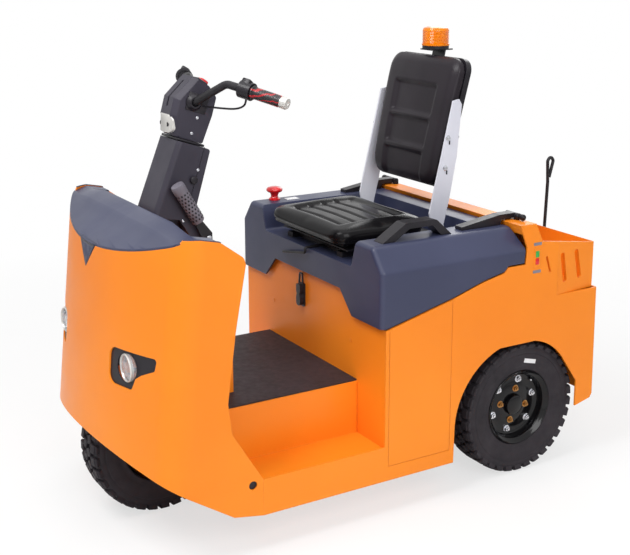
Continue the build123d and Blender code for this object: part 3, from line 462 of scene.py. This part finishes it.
def seat_sunk(u, v):
    """1 in the seat's sunk middle, 0 on the roll round it."""
    return smoothstep((0.74 - abs(v)) / 0.16) * smoothstep((u - 0.10) / 0.10) * smoothstep((0.90 - u) / 0.10)


def seat_pad():
    """Seat cushion: a cloth skin over foam with a sunk, grooved middle and a welt round its foot."""
    bm = bmesh.new()
    block(bm, Matrix.Translation((SEAT_LOW + SEAT_HIGH) / 2), SEAT_HIGH - SEAT_LOW)
    corners = [e for e in bm.edges if abs(e.verts[0].co.z - e.verts[1].co.z) > 0.01]
    bmesh.ops.bevel(bm, geom=corners, offset=0.046, affect="EDGES", segments=8, profile=0.5, material=-1)
    for height, radius in ((SEAT_HIGH.z, 0.020), (SEAT_LOW.z, 0.008)):
        rim_edges = [e for e in bm.edges if all(abs(v.co.z - height) < 1e-5 for v in e.verts)]
        bmesh.ops.bevel(bm, geom=rim_edges, offset=radius, affect="EDGES", segments=6, profile=0.5, material=-1)
    obj = pad_object("seat_pad", bm)
    swell(obj, 0.0046, 1.0, 0.010, lambda co: co.z < SEAT_WELT)
    soften(obj, 14)
    for vertex in obj.data.vertices:
        u, v = seat_square(vertex.co)
        above = smoothstep((vertex.co.z - SEAT_WELT - 0.012) / 0.014)
        sunk = seat_sunk(u, v)
        groove = max(max(0.0, 1 - abs(u - flute - FLUTE_BOW * abs(v)) / FLUTE_HALF) for flute in SEAT_FLUTES)
        rise = (SEAT_TILT * (1 - u) - SEAT_SINK * sunk
                - FLUTE_DEPTH * smoothstep(groove) * smoothstep((sunk - 0.3) / 0.5))
        vertex.co.z += rise * above
        welt = max(0.0, 1 - abs(vertex.co.z - SEAT_WELT) / WELT_HALF)
        edge = Vector((max(abs(u - 0.5) * 2 - 0.9, 0) * (1 if u > 0.5 else -1),
                       max(abs(v) - 0.9, 0) * (1 if v > 0 else -1), 0))
        if edge.length > 0:
            vertex.co -= edge.normalized() * WELT_DEPTH * welt
    return obj


finish_pad(seat_pad(), VINYL, "seat", "seat_cushion")

# The backrest in its own square: across, and up the leaning face from its foot
BACK_FOOT = at(142, 0, 865)
BACK_AHEAD = Vector((cos(BACK_LEAN), 0, sin(BACK_LEAN)))
BACK_UP = Vector((-sin(BACK_LEAN), 0, cos(BACK_LEAN)))
BACK_START, BACK_DEPTH, BACK_TALL, BACK_WIDE = 0.0185, 0.047, 0.392, 0.360
PANEL_DEPTH, CROWN_ACROSS, CROWN_UP = 0.011, 0.010, 0.012
# Sunk panels of the backrest: lowest and highest edge, half width at each
BACK_PANELS = ((-0.02, 0.090, 0.093, 0.097), (0.108, 0.190, 0.098, 0.101), (0.206, 0.298, 0.101, 0.104))


def back_depth(across, up):
    """How far the backrest's face lies below its crown at that point."""
    depth = 0.0
    for low, high, half_low, half_high in BACK_PANELS:
        half = half_low + (half_high - half_low) * (up - low) / (high - low)
        inside = min((half - abs(across)) / 0.009, (up - low) / 0.010, (high - up) / 0.010)
        depth = max(depth, smoothstep(inside + 0.5))
    crown = CROWN_ACROSS * (across / 0.18) ** 2 + CROWN_UP * ((up - 0.2) / 0.2) ** 4
    return PANEL_DEPTH * depth + crown


def back_pad():
    """Backrest: moulded skin foam with three sunk panels and rounded edges."""
    bm = bmesh.new()
    frame_place = Matrix.Translation(BACK_FOOT + BACK_AHEAD * (BACK_START + BACK_DEPTH / 2) + BACK_UP * BACK_TALL / 2)
    turn = Matrix((BACK_AHEAD, (0, 1, 0), BACK_UP)).transposed().to_4x4()
    block(bm, frame_place @ turn, (BACK_DEPTH, BACK_WIDE, BACK_TALL - 0.006))
    uprights = [e for e in bm.edges if abs((e.verts[0].co - e.verts[1].co).normalized().dot(BACK_AHEAD)) > 0.9]
    bmesh.ops.bevel(bm, geom=uprights, offset=0.048, affect="EDGES", segments=8, profile=0.5, material=-1)
    front = [e for e in bm.edges
             if all((v.co - BACK_FOOT).dot(BACK_AHEAD) > BACK_START + BACK_DEPTH - 1e-4 for v in e.verts)]
    bmesh.ops.bevel(bm, geom=front, offset=0.027, affect="EDGES", segments=8, profile=0.5, material=-1)
    for vertex in bm.verts:
        up = (vertex.co - BACK_FOOT).dot(BACK_UP)
        narrow = 0.915 + 0.085 * up / BACK_TALL
        vertex.co.y *= narrow
    obj = pad_object("back_pad", bm)
    remesh = obj.modifiers.new("remesh", "REMESH")
    remesh.mode = "VOXEL"
    remesh.voxel_size = 0.0042
    graph = bpy.context.evaluated_depsgraph_get()
    obj.data = bpy.data.meshes.new_from_object(obj.evaluated_get(graph))
    obj.modifiers.clear()
    face = BACK_START + BACK_DEPTH
    for vertex in obj.data.vertices:
        local = vertex.co - BACK_FOOT
        ahead, up = local.dot(BACK_AHEAD), local.dot(BACK_UP)
        share = smoothstep((ahead - BACK_START - 0.012) / (face - BACK_START - 0.012))
        vertex.co -= BACK_AHEAD * back_depth(local.y, up) * share
    soften(obj, 3)
    return obj


finish_pad(back_pad(), SKIN_FOAM, "seat", "backrest_cushion")


# Beacon

def beacon_dome():
    """Lens of the beacon, with level rings all round and its dome."""
    bm = bmesh.new()
    rows = [(0.0, 0.0), (0.0425, 0.0), (0.0425, 0.005)]
    for ring in range(9):
        rows += [(0.0400, 0.0065 + ring * 0.0045), (0.0412, 0.0085 + ring * 0.0045)]
    rows += [(0.0405, 0.0475), (0.0375, 0.053), (0.028, 0.0562), (0.0, 0.0575)]
    spun(bm, rows, at(62, 0, 1280), (0, 0, 1), steps=72)
    obj = piece("beacon_dome", bm, [AMBER], "seat")
    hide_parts("beacon_lens")


beacon_dome()


# Steering gear

def dome_screw(bm, x, y, z):
    """Small domed screw head on a side wall."""
    rod(bm, at(x, y, z), (0, y, 0), 0.0042, 0.0016, 20, 0.0012)


def column_trim():
    """Screws of the column and head, the brake's pin, the cover's seam, its knob, and a dark block under the head that
    paints the shade of the gap there.
    """
    bm = bmesh.new()
    for x, z in ((907, 980), (955, 843)):
        for y in (66, -66):
            dome_screw(bm, x, y, z)
    rod(bm, at(891, 93, 792), (0, 1, 0), 0.008, 0.004, 24, 0.0015)
    raked = Matrix.Rotation(-LEAN, 4, "Y")
    block(bm, Matrix.Translation(at(917, 66.4, 947)) @ raked, (0.0012, 0.0012, 0.200), material=1)
    rod(bm, at(922, 66, 954), (0, 1, 0), 0.011, 0.010, 24, 0.003, 1)
    # Dark block in the gap between the column and the head: painted shade that stands in for the shadow gap.
    block(bm, Matrix.Translation(at(920, 0, 1055)) @ raked, (0.084, 0.108, 0.0070), 0.002, material=1)
    piece("column_screws", bm, [BRIGHT, NYLON], "chassis")
    bm = bmesh.new()
    for x, z in ((896, 1120), (914, 1079)):
        for y in (46, -46):
            dome_screw(bm, x, y, z)
    piece("head_screws", bm, [BRIGHT], "steering")


DIMPLE_ROWS, DIMPLES, DIMPLE_STEP = 9, 12, 0.0102  # rows, dimples in a row, and distance between rows


def brake_cover():
    """Moulded grip of the parking brake, with staggered rows of dark dimples."""
    bm = bmesh.new()
    start = at(919, 89, 842)
    axis = Vector((0.50, 0, 0.866)).normalized()
    rows = [(0.0, 0.0), (0.0165, 0.0), (0.0180, 0.003), (0.0182, 0.03), (0.0186, 0.07), (0.0190, 0.105),
            (0.0196, 0.108), (0.0196, 0.117), (0.0178, 0.123), (0.011, 0.125), (0.0, 0.125)]
    spun(bm, rows, start, axis, steps=40)
    turn = facing(axis)
    for row in range(DIMPLE_ROWS):
        for number in range(DIMPLES):
            angle = number * tau / DIMPLES + row * pi / DIMPLES
            spot = start + axis * (0.012 + row * DIMPLE_STEP)
            place = Matrix.Translation(spot) @ turn @ Matrix.Rotation(angle, 4, "Z")
            block(bm, place @ Matrix.Translation((0.0185, 0, 0)), (0.0016, 0.0048, 0.0056), 0.0006, 1, material=1)
    obj = piece("brake_handgrip", bm, [GREY_GRIP, NYLON], "chassis")
    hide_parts("brake_grip")


GRIP_END = at(762, 300, 1178)
GRIP_AXIS = (GRIP_END - at(825, 190, 1207)).normalized()


def handgrips():
    """Rubber grips with fine rings, a flange at the housing and a satin end cap."""
    bm = bmesh.new()
    for mirror in (1, -1):
        flip = Vector((1, mirror, 1))
        start = (GRIP_END - GRIP_AXIS * 0.102) * flip
        axis = GRIP_AXIS * flip
        rows = [(0.0115, 0.0), (0.019, 0.0), (0.019, 0.004), (0.0155, 0.006)]
        for number in range(10):
            along = 0.010 + number * 0.0075
            rows += [(0.0158, along), (0.0164, along + 0.0015), (0.0164, along + 0.0045), (0.0158, along + 0.006)]
        rows += [(0.0155, 0.088), (0.0155, 0.090), (0.0115, 0.090)]
        spun(bm, rows, start, axis, steps=40)
        cap = [(0.0115, 0.090), (0.0160, 0.090), (0.0163, 0.094), (0.0163, 0.104), (0.0145, 0.1078), (0.006, 0.108),
               (0.0045, 0.106), (0.0, 0.106)]
        spun(bm, cap, start, axis, steps=40, material=1)
    obj = piece("handgrips", bm, [GRIP, SATIN_SILVER], "steering")
    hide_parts("grips")


def switch_housings():
    """Clamped housings beside the grips, with a thumb lever on top."""
    bm = bmesh.new()
    for mirror in (1, -1):
        flip = Vector((1, mirror, 1))
        start = (GRIP_END - GRIP_AXIS * 0.140) * flip
        axis = GRIP_AXIS * flip
        rows = [(0.0115, 0.0), (0.018, 0.0), (0.0215, 0.0025), (0.0225, 0.016), (0.0225, 0.0168), (0.0235, 0.0168),
                (0.0238, 0.0178), (0.0225, 0.0178), (0.0222, 0.033), (0.019, 0.036), (0.0115, 0.036)]
        spun(bm, rows, start, axis, steps=40)
        turn = facing(axis)
        middle = start + axis * 0.018
        block(bm, Matrix.Translation(middle + Vector((0, 0, 0.0165))) @ turn, (0.024, 0.026, 0.026), 0.004)
    piece("switch_housings", bm, [NYLON], "steering")


def head_fittings():
    """Red key cap and dark shroud on top of the head, the boots round the bar."""
    bm = bmesh.new()
    block(bm, Matrix.Translation(at(873, 0, 1206)) @ Matrix.Rotation(radians(55), 4, "Y"), (0.030, 0.052, 0.040), 0.007)
    block(bm, Matrix.Translation(at(858, 0, 1212)) @ Matrix.Rotation(radians(55), 4, "Y"), (0.016, 0.036, 0.026), 0.006,
          material=1)
    for y in (0.047, -0.047):  # the head's two cheeks
        block(bm, Matrix.Translation(at(895, y * 1000, 1160)) @ Matrix.Rotation(-LEAN, 4, "Y"), (0.062, 0.004, 0.050),
              0.0018)
        spun(bm, [(0.0115, 0.0), (0.024, 0.0), (0.022, 0.006), (0.0155, 0.012), (0.0115, 0.012)],
             at(905, 0, 1163) + Vector((0, y, 0)), (0, y, 0), steps=32)
    piece("head_fittings", bm, [NYLON, RED], "steering")


column_trim()
brake_cover()
handgrips()
switch_housings()
head_fittings()


# Route of the throttle cable, from the left housing to the head
CABLE_ROUTE = (at(818.5, 188, 1184.5), at(815, 179, 1168), at(818, 162, 1156), at(827, 135, 1149),
               at(843, 100, 1148), at(860, 74, 1149), at(874, 54, 1150.5), at(882, 43, 1151))
CABLE_THICK = 0.0056


def cable_bow():
    """Thin black cable from the left housing back into the head, in its free bow below the bar."""
    curve = bpy.data.curves.new("cable_bow", "CURVE")
    curve.dimensions = "3D"
    spline = curve.splines.new("NURBS")
    spline.points.add(len(CABLE_ROUTE) - 1)
    for target, point in zip(spline.points, CABLE_ROUTE):
        target.co = (*point, 1)
    spline.order_u = 3
    spline.use_endpoint_u = True
    curve.bevel_depth = CABLE_THICK / 2
    curve.bevel_resolution = 4
    curve.materials.append(NYLON)
    obj = bpy.data.objects.new("cable_bow", curve)
    bpy.context.scene.collection.objects.link(obj)
    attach(obj, "steering")
    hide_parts("throttle_cable")


cable_bow()


# Fasteners and small parts on the body

def bracket_bolts():
    """Slotted round-headed bolts that hold the backrest's brackets."""
    bm = bmesh.new()
    for x, z in ((153, 1023), (161, 934)):
        for side in (1, -1):
            spot = at(x, side * 193, z)
            rod(bm, spot, (0, side, 0), 0.0085, 0.0015, 24, 0.0005, 0)
            rod(bm, spot + Vector((0, side * 0.0012, 0)), (0, side, 0), 0.0062, 0.0045, 6, 0.001, 0)
            block(bm, Matrix.Translation(spot + Vector((-0.006, side * 0.0006, -0.014))), (0.005, 0.0012, 0.012),
                  0.0004, 1, material=1)
    piece("bracket_bolts", bm, [BRIGHT, NYLON], "seat")


def hinge_knobs():
    """Round knobs and pins of the hood's hinges."""
    bm = bmesh.new()
    for side in (1, -1):
        rod(bm, at(0, side * 331.5, 797), (0, side, 0), 0.0045, 0.040, 16, 0.0005)
        for y in (337, 356):
            rod(bm, at(0, side * y, 797), (0, side, 0), 0.0095, 0.013, 24, 0.0025)
    piece("hinge_knobs", bm, [NYLON], "chassis")


def wall_screws():
    """Small countersunk screws of the front wall, painted over with it."""
    bm = bmesh.new()
    for x, y, z in ((513, -230, 470), (513, 230, 470), (513, -230, 240), (513, 230, 240)):
        rod(bm, at(x, y, z), (1, 0, 0), 0.0055, 0.0012, 20, 0.0008)
    piece("wall_screws", bm, [ORANGE], "chassis")


def lamp_bezels():
    """Chromed reflector ring and inner bulb shield of each headlamp."""
    bm = bmesh.new()
    for y in (234, -234):
        spun(bm, [(0.0375, 0.0), (0.0375, 0.007), (0.0355, 0.0095), (0.0335, 0.007), (0.0325, 0.001)],
             at(1194, y, 518), (1, 0, 0), steps=48, closed=True)
    piece("lamp_bezels", bm, [SATIN_SILVER], "chassis")


def switch_rockers():
    """Green and red rockers of the inching switch and the blank plates above and below."""
    bm = bmesh.new()
    for z, index in ((693, 1), (671, 0)):
        block(bm, Matrix.Translation(at(-22, 410, z)), (0.013, 0.0035, 0.019), 0.0016, 3, material=index)
    for z in (724, 640):
        block(bm, Matrix.Translation(at(-22, 409.6, z)), (0.030, 0.0007, 0.009), 0.0002, 1, material=2)
    piece("switch_rockers", bm, [RED, GREEN, PLATE], "chassis")


def stop_button():
    """Mushroom head of the stop button on its flared stem."""
    bm = bmesh.new()
    rows = [(0.0, 0.0), (0.0185, 0.0), (0.0185, 0.004), (0.0125, 0.008), (0.0115, 0.014), (0.0150, 0.023),
            (0.0235, 0.0265), (0.0265, 0.0305), (0.0262, 0.0350), (0.0225, 0.0395), (0.0130, 0.0425), (0.0, 0.0432)]
    spun(bm, rows, at(454, -330, 775.4), (0, 0, 1), steps=56)
    obj = piece("stop_mushroom", bm, [RED], "hood", smooth=50)
    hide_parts("emergency_stop")
    bm = bmesh.new()
    block(bm, Matrix.Translation(at(398, -316, 775.4)), (0.044, 0.028, 0.0006), 0.0002, 1)
    piece("hood_label", bm, [LABEL], "hood")


def saddle_plate():
    """Bright plate that wraps the head's lower front, with two dark discs that paint the shade of its two holes."""
    bm = bmesh.new()
    block(bm, Matrix.Identity(4), (0.010, 0.078, 0.050))
    ends = [e for e in bm.edges if abs(e.verts[0].co.x - e.verts[1].co.x) > 0.005]
    bmesh.ops.bevel(bm, geom=ends, offset=0.016, affect="EDGES", segments=6, profile=0.5, material=-1)
    for cut in range(-5, 6):
        bmesh.ops.bisect_plane(bm, geom=bm.verts[:] + bm.edges[:] + bm.faces[:], plane_co=(0, cut * 0.007, 0),
                               plane_no=(0, 1, 0))
    front = [e for e in bm.edges if all(v.co.x > 0.0049 for v in e.verts) and e.calc_face_angle(0) > 1.0]
    bmesh.ops.bevel(bm, geom=front, offset=0.0025, affect="EDGES", segments=3, profile=0.5, material=-1)
    for vertex in bm.verts:
        vertex.co.x -= 0.010 * (abs(vertex.co.y) / 0.039) ** 2.2
    # Dark nylon discs on the face: painted shade in place of the plate's two holes.
    for y in (-0.022, 0.022):
        rod(bm, (-0.0013, y, -0.002), (1, 0, 0), 0.0062, 0.004, 20, 0.0008, 1)
    bm.transform(Matrix.Translation(at(972, 0, 1107)) @ Matrix.Rotation(radians(-3), 4, "Y"))
    obj = piece("saddle_plate", bm, [SATIN_SILVER, NYLON], "steering")
    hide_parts("head_trim")


CREST_RISE = 0.014  # how much the cap's rear edge climbs


def cap_crown():
    """The front cap with its rear edge swept up to the crest."""
    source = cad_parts["front_cap"]
    bm = bmesh.new()
    bm.from_mesh(source.data)
    bmesh.ops.remove_doubles(bm, verts=bm.verts, dist=1e-5)
    for number in range(9):
        for point, normal in ((at(1060 + number * 12, 0, 0), (1, 0, 0)), (at(0, (number - 4) * 80, 0), (0, 1, 0))):
            bmesh.ops.bisect_plane(bm, geom=bm.verts[:] + bm.edges[:] + bm.faces[:], plane_co=point, plane_no=normal)
    for vertex in bm.verts:
        back = (REAR_AXLE + 1.150 - vertex.co.x) / 0.090
        vertex.co.z += CREST_RISE * smoothstep(back) * smoothstep((0.350 - abs(vertex.co.y)) / 0.10)
    obj = piece("cap_crown", bm, [SLATE], "chassis", smooth=28)
    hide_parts("front_cap")


# The V's tip above the ground, its height, and its half width at the tip and how much wider it is at the top
VEE_TIP_Z, VEE_TALL, VEE_TIP_HALF, VEE_SPREAD = 0.738, 0.072, 0.002, 0.060


def nose_vee():
    """The cap's slate V, laid on the apron's face."""
    apron = BVHTree.FromObject(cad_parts["apron"], bpy.context.evaluated_depsgraph_get())
    cap = BVHTree.FromObject(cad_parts["front_cap"], bpy.context.evaluated_depsgraph_get())
    bm = bmesh.new()
    bmesh.ops.create_grid(bm, x_segments=16, y_segments=12, size=0.5)
    for vertex in bm.verts:
        rise = vertex.co.y + 0.5
        start = Vector((3, vertex.co.x * 2 * (VEE_TIP_HALF + VEE_SPREAD * rise), VEE_TIP_Z + VEE_TALL * rise))
        hits = [tree.ray_cast(start, Vector((-1, 0, 0)))[0] for tree in (apron, cap)]
        vertex.co = Vector((max(hit.x for hit in hits if hit) + 0.0002, start.y, start.z))
    bmesh.ops.solidify(bm, geom=bm.faces[:], thickness=-0.0012)
    piece("nose_vee", bm, [SLATE], "chassis")


def wall_tops():
    """Slate edging on top of the apron's side walls, level with the cap."""
    bm = bmesh.new()
    bm.from_mesh(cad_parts["apron"].data)
    bmesh.ops.remove_doubles(bm, verts=bm.verts, dist=1e-5)
    rest = [f for f in bm.faces if f.normal.z < 0.8 or f.calc_center_median().z < 0.862]
    bmesh.ops.delete(bm, geom=rest, context="FACES")
    bmesh.ops.solidify(bm, geom=bm.faces[:], thickness=-0.0022)
    piece("wall_tops", bm, [SLATE], "chassis")


def hole_plugs():
    """Dark plugs in the apron's side holes."""
    bm = bmesh.new()
    for side in (1, -1):
        rod(bm, at(929, side * 401.5, 195), (0, side, 0), 0.0116, 0.004, 32, 0.001)
    piece("hole_plugs", bm, [NYLON], "chassis")


stop_button()
saddle_plate()
nose_vee()
cap_crown()
wall_tops()
hole_plugs()
bracket_bolts()
hinge_knobs()
wall_screws()
lamp_bezels()
switch_rockers()


# Studio

# Lamps: name, place, side length in metres, watts
LAMPS = (("key", (0.9, 3.8, 2.8), 2.4, 90), ("front", (2.6, 0.6, 4.2), 1.8, 115), ("top", (-0.2, 0.2, 4.4), 3.4, 45),
         ("back", (-3.4, -2.6, 2.8), 2.4, 45))
SURROUND = 0.38  # strength with which the white surround lights the object
GLOW_NEAR, GLOW_FAR = 1.3, 3.0  # the floor turns to pure white between these distances
GLOW_SHARE = 0.66  # share of pure white inside the nearer one


def studio():
    """Pale floor that keeps the shadow, soft lamps and a white surround."""
    material = bpy.data.materials.new("studio_floor_white")
    material.use_nodes = True
    tree = material.node_tree
    tree.nodes.remove(tree.nodes["Principled BSDF"])
    output = tree.nodes["Material Output"]
    place = add_node(tree, "TexCoord").outputs["Object"]
    speck = add_node(tree, "TexNoise", {"Vector": place, "Scale": 3.0}).outputs["Fac"]
    tint = add_node(tree, "Mix", {0: speck, 6: linear("#F4F4F4"), 7: linear("#EFEFEF")}, data_type="RGBA").outputs[2]
    matt = add_node(tree, "BsdfDiffuse", {"Color": tint}).outputs[0]
    white = add_node(tree, "Emission", {"Color": (1, 1, 1, 1), "Strength": 1.0}).outputs[0]
    path = add_node(tree, "LightPath")
    away = add_node(tree, "VectorMath", {0: place}, operation="LENGTH").outputs["Value"]
    bright = add_node(tree, "MapRange", {"Value": away, "From Min": GLOW_NEAR, "From Max": GLOW_FAR,
                                         "To Min": GLOW_SHARE}).outputs["Result"]
    share = add_node(tree, "Math", {0: path.outputs["Is Camera Ray"], 1: bright}, operation="MULTIPLY").outputs[0]
    mixed = add_node(tree, "MixShader", {0: share, 1: matt, 2: white}).outputs[0]
    tree.links.new(mixed, output.inputs["Surface"])
    bm = bmesh.new()
    bmesh.ops.create_grid(bm, x_segments=1, y_segments=1, size=40)
    mesh = bpy.data.meshes.new("floor")
    bm.to_mesh(mesh)
    bm.free()
    mesh.materials.append(material)
    floor = bpy.data.objects.new("floor", mesh)
    bpy.context.scene.collection.objects.link(floor)

    world = bpy.data.worlds.new("studio")
    bpy.context.scene.world = world
    world.use_nodes = True
    tree = world.node_tree
    path = add_node(tree, "LightPath")
    seen = add_node(tree, "Math", {0: path.outputs["Is Camera Ray"], 1: path.outputs["Is Glossy Ray"]},
                    operation="MAXIMUM").outputs[0]
    seen = add_node(tree, "Math", {0: seen, 1: path.outputs["Is Transmission Ray"]}, operation="MAXIMUM").outputs[0]
    level = add_node(tree, "MapRange", {"Value": seen, "To Min": SURROUND, "To Max": 1.0}).outputs["Result"]
    background = tree.nodes["Background"]
    background.inputs["Color"].default_value = (1, 1, 1, 1)
    tree.links.new(level, background.inputs["Strength"])

    for name, place, size, power in LAMPS:
        data = bpy.data.lights.new(name, "AREA")
        data.shape = "SQUARE"
        data.size = size
        data.energy = power
        lamp = bpy.data.objects.new(name, data)
        bpy.context.scene.collection.objects.link(lamp)
        lamp.location = place
        aim = Vector((0, 0, 0.5)) - Vector(place)
        lamp.rotation_euler = aim.to_track_quat("-Z", "Y").to_euler()


CAMERA_SPOT, CAMERA_LENS = (1.8057, 2.8916, 1.5578), 65.8
CAMERA_YAW, CAMERA_PITCH = radians(58.8), radians(12.8)


def camera():
    """Camera of the photograph: its place, direction, lens and framing."""
    data = bpy.data.cameras.new("camera")
    data.sensor_width = 36.0
    data.lens = CAMERA_LENS
    data.shift_x = -0.0168
    data.shift_y = -0.1
    obj = bpy.data.objects.new("camera", data)
    bpy.context.scene.collection.objects.link(obj)
    obj.location = CAMERA_SPOT
    aim = -Vector((cos(CAMERA_YAW) * cos(CAMERA_PITCH), sin(CAMERA_YAW) * cos(CAMERA_PITCH), sin(CAMERA_PITCH)))
    obj.rotation_euler = aim.to_track_quat("-Z", "Y").to_euler()
    data.clip_end = 200
    bpy.context.scene.camera = obj


studio()
camera()
bpy.context.scene.view_settings.view_transform = "Standard"
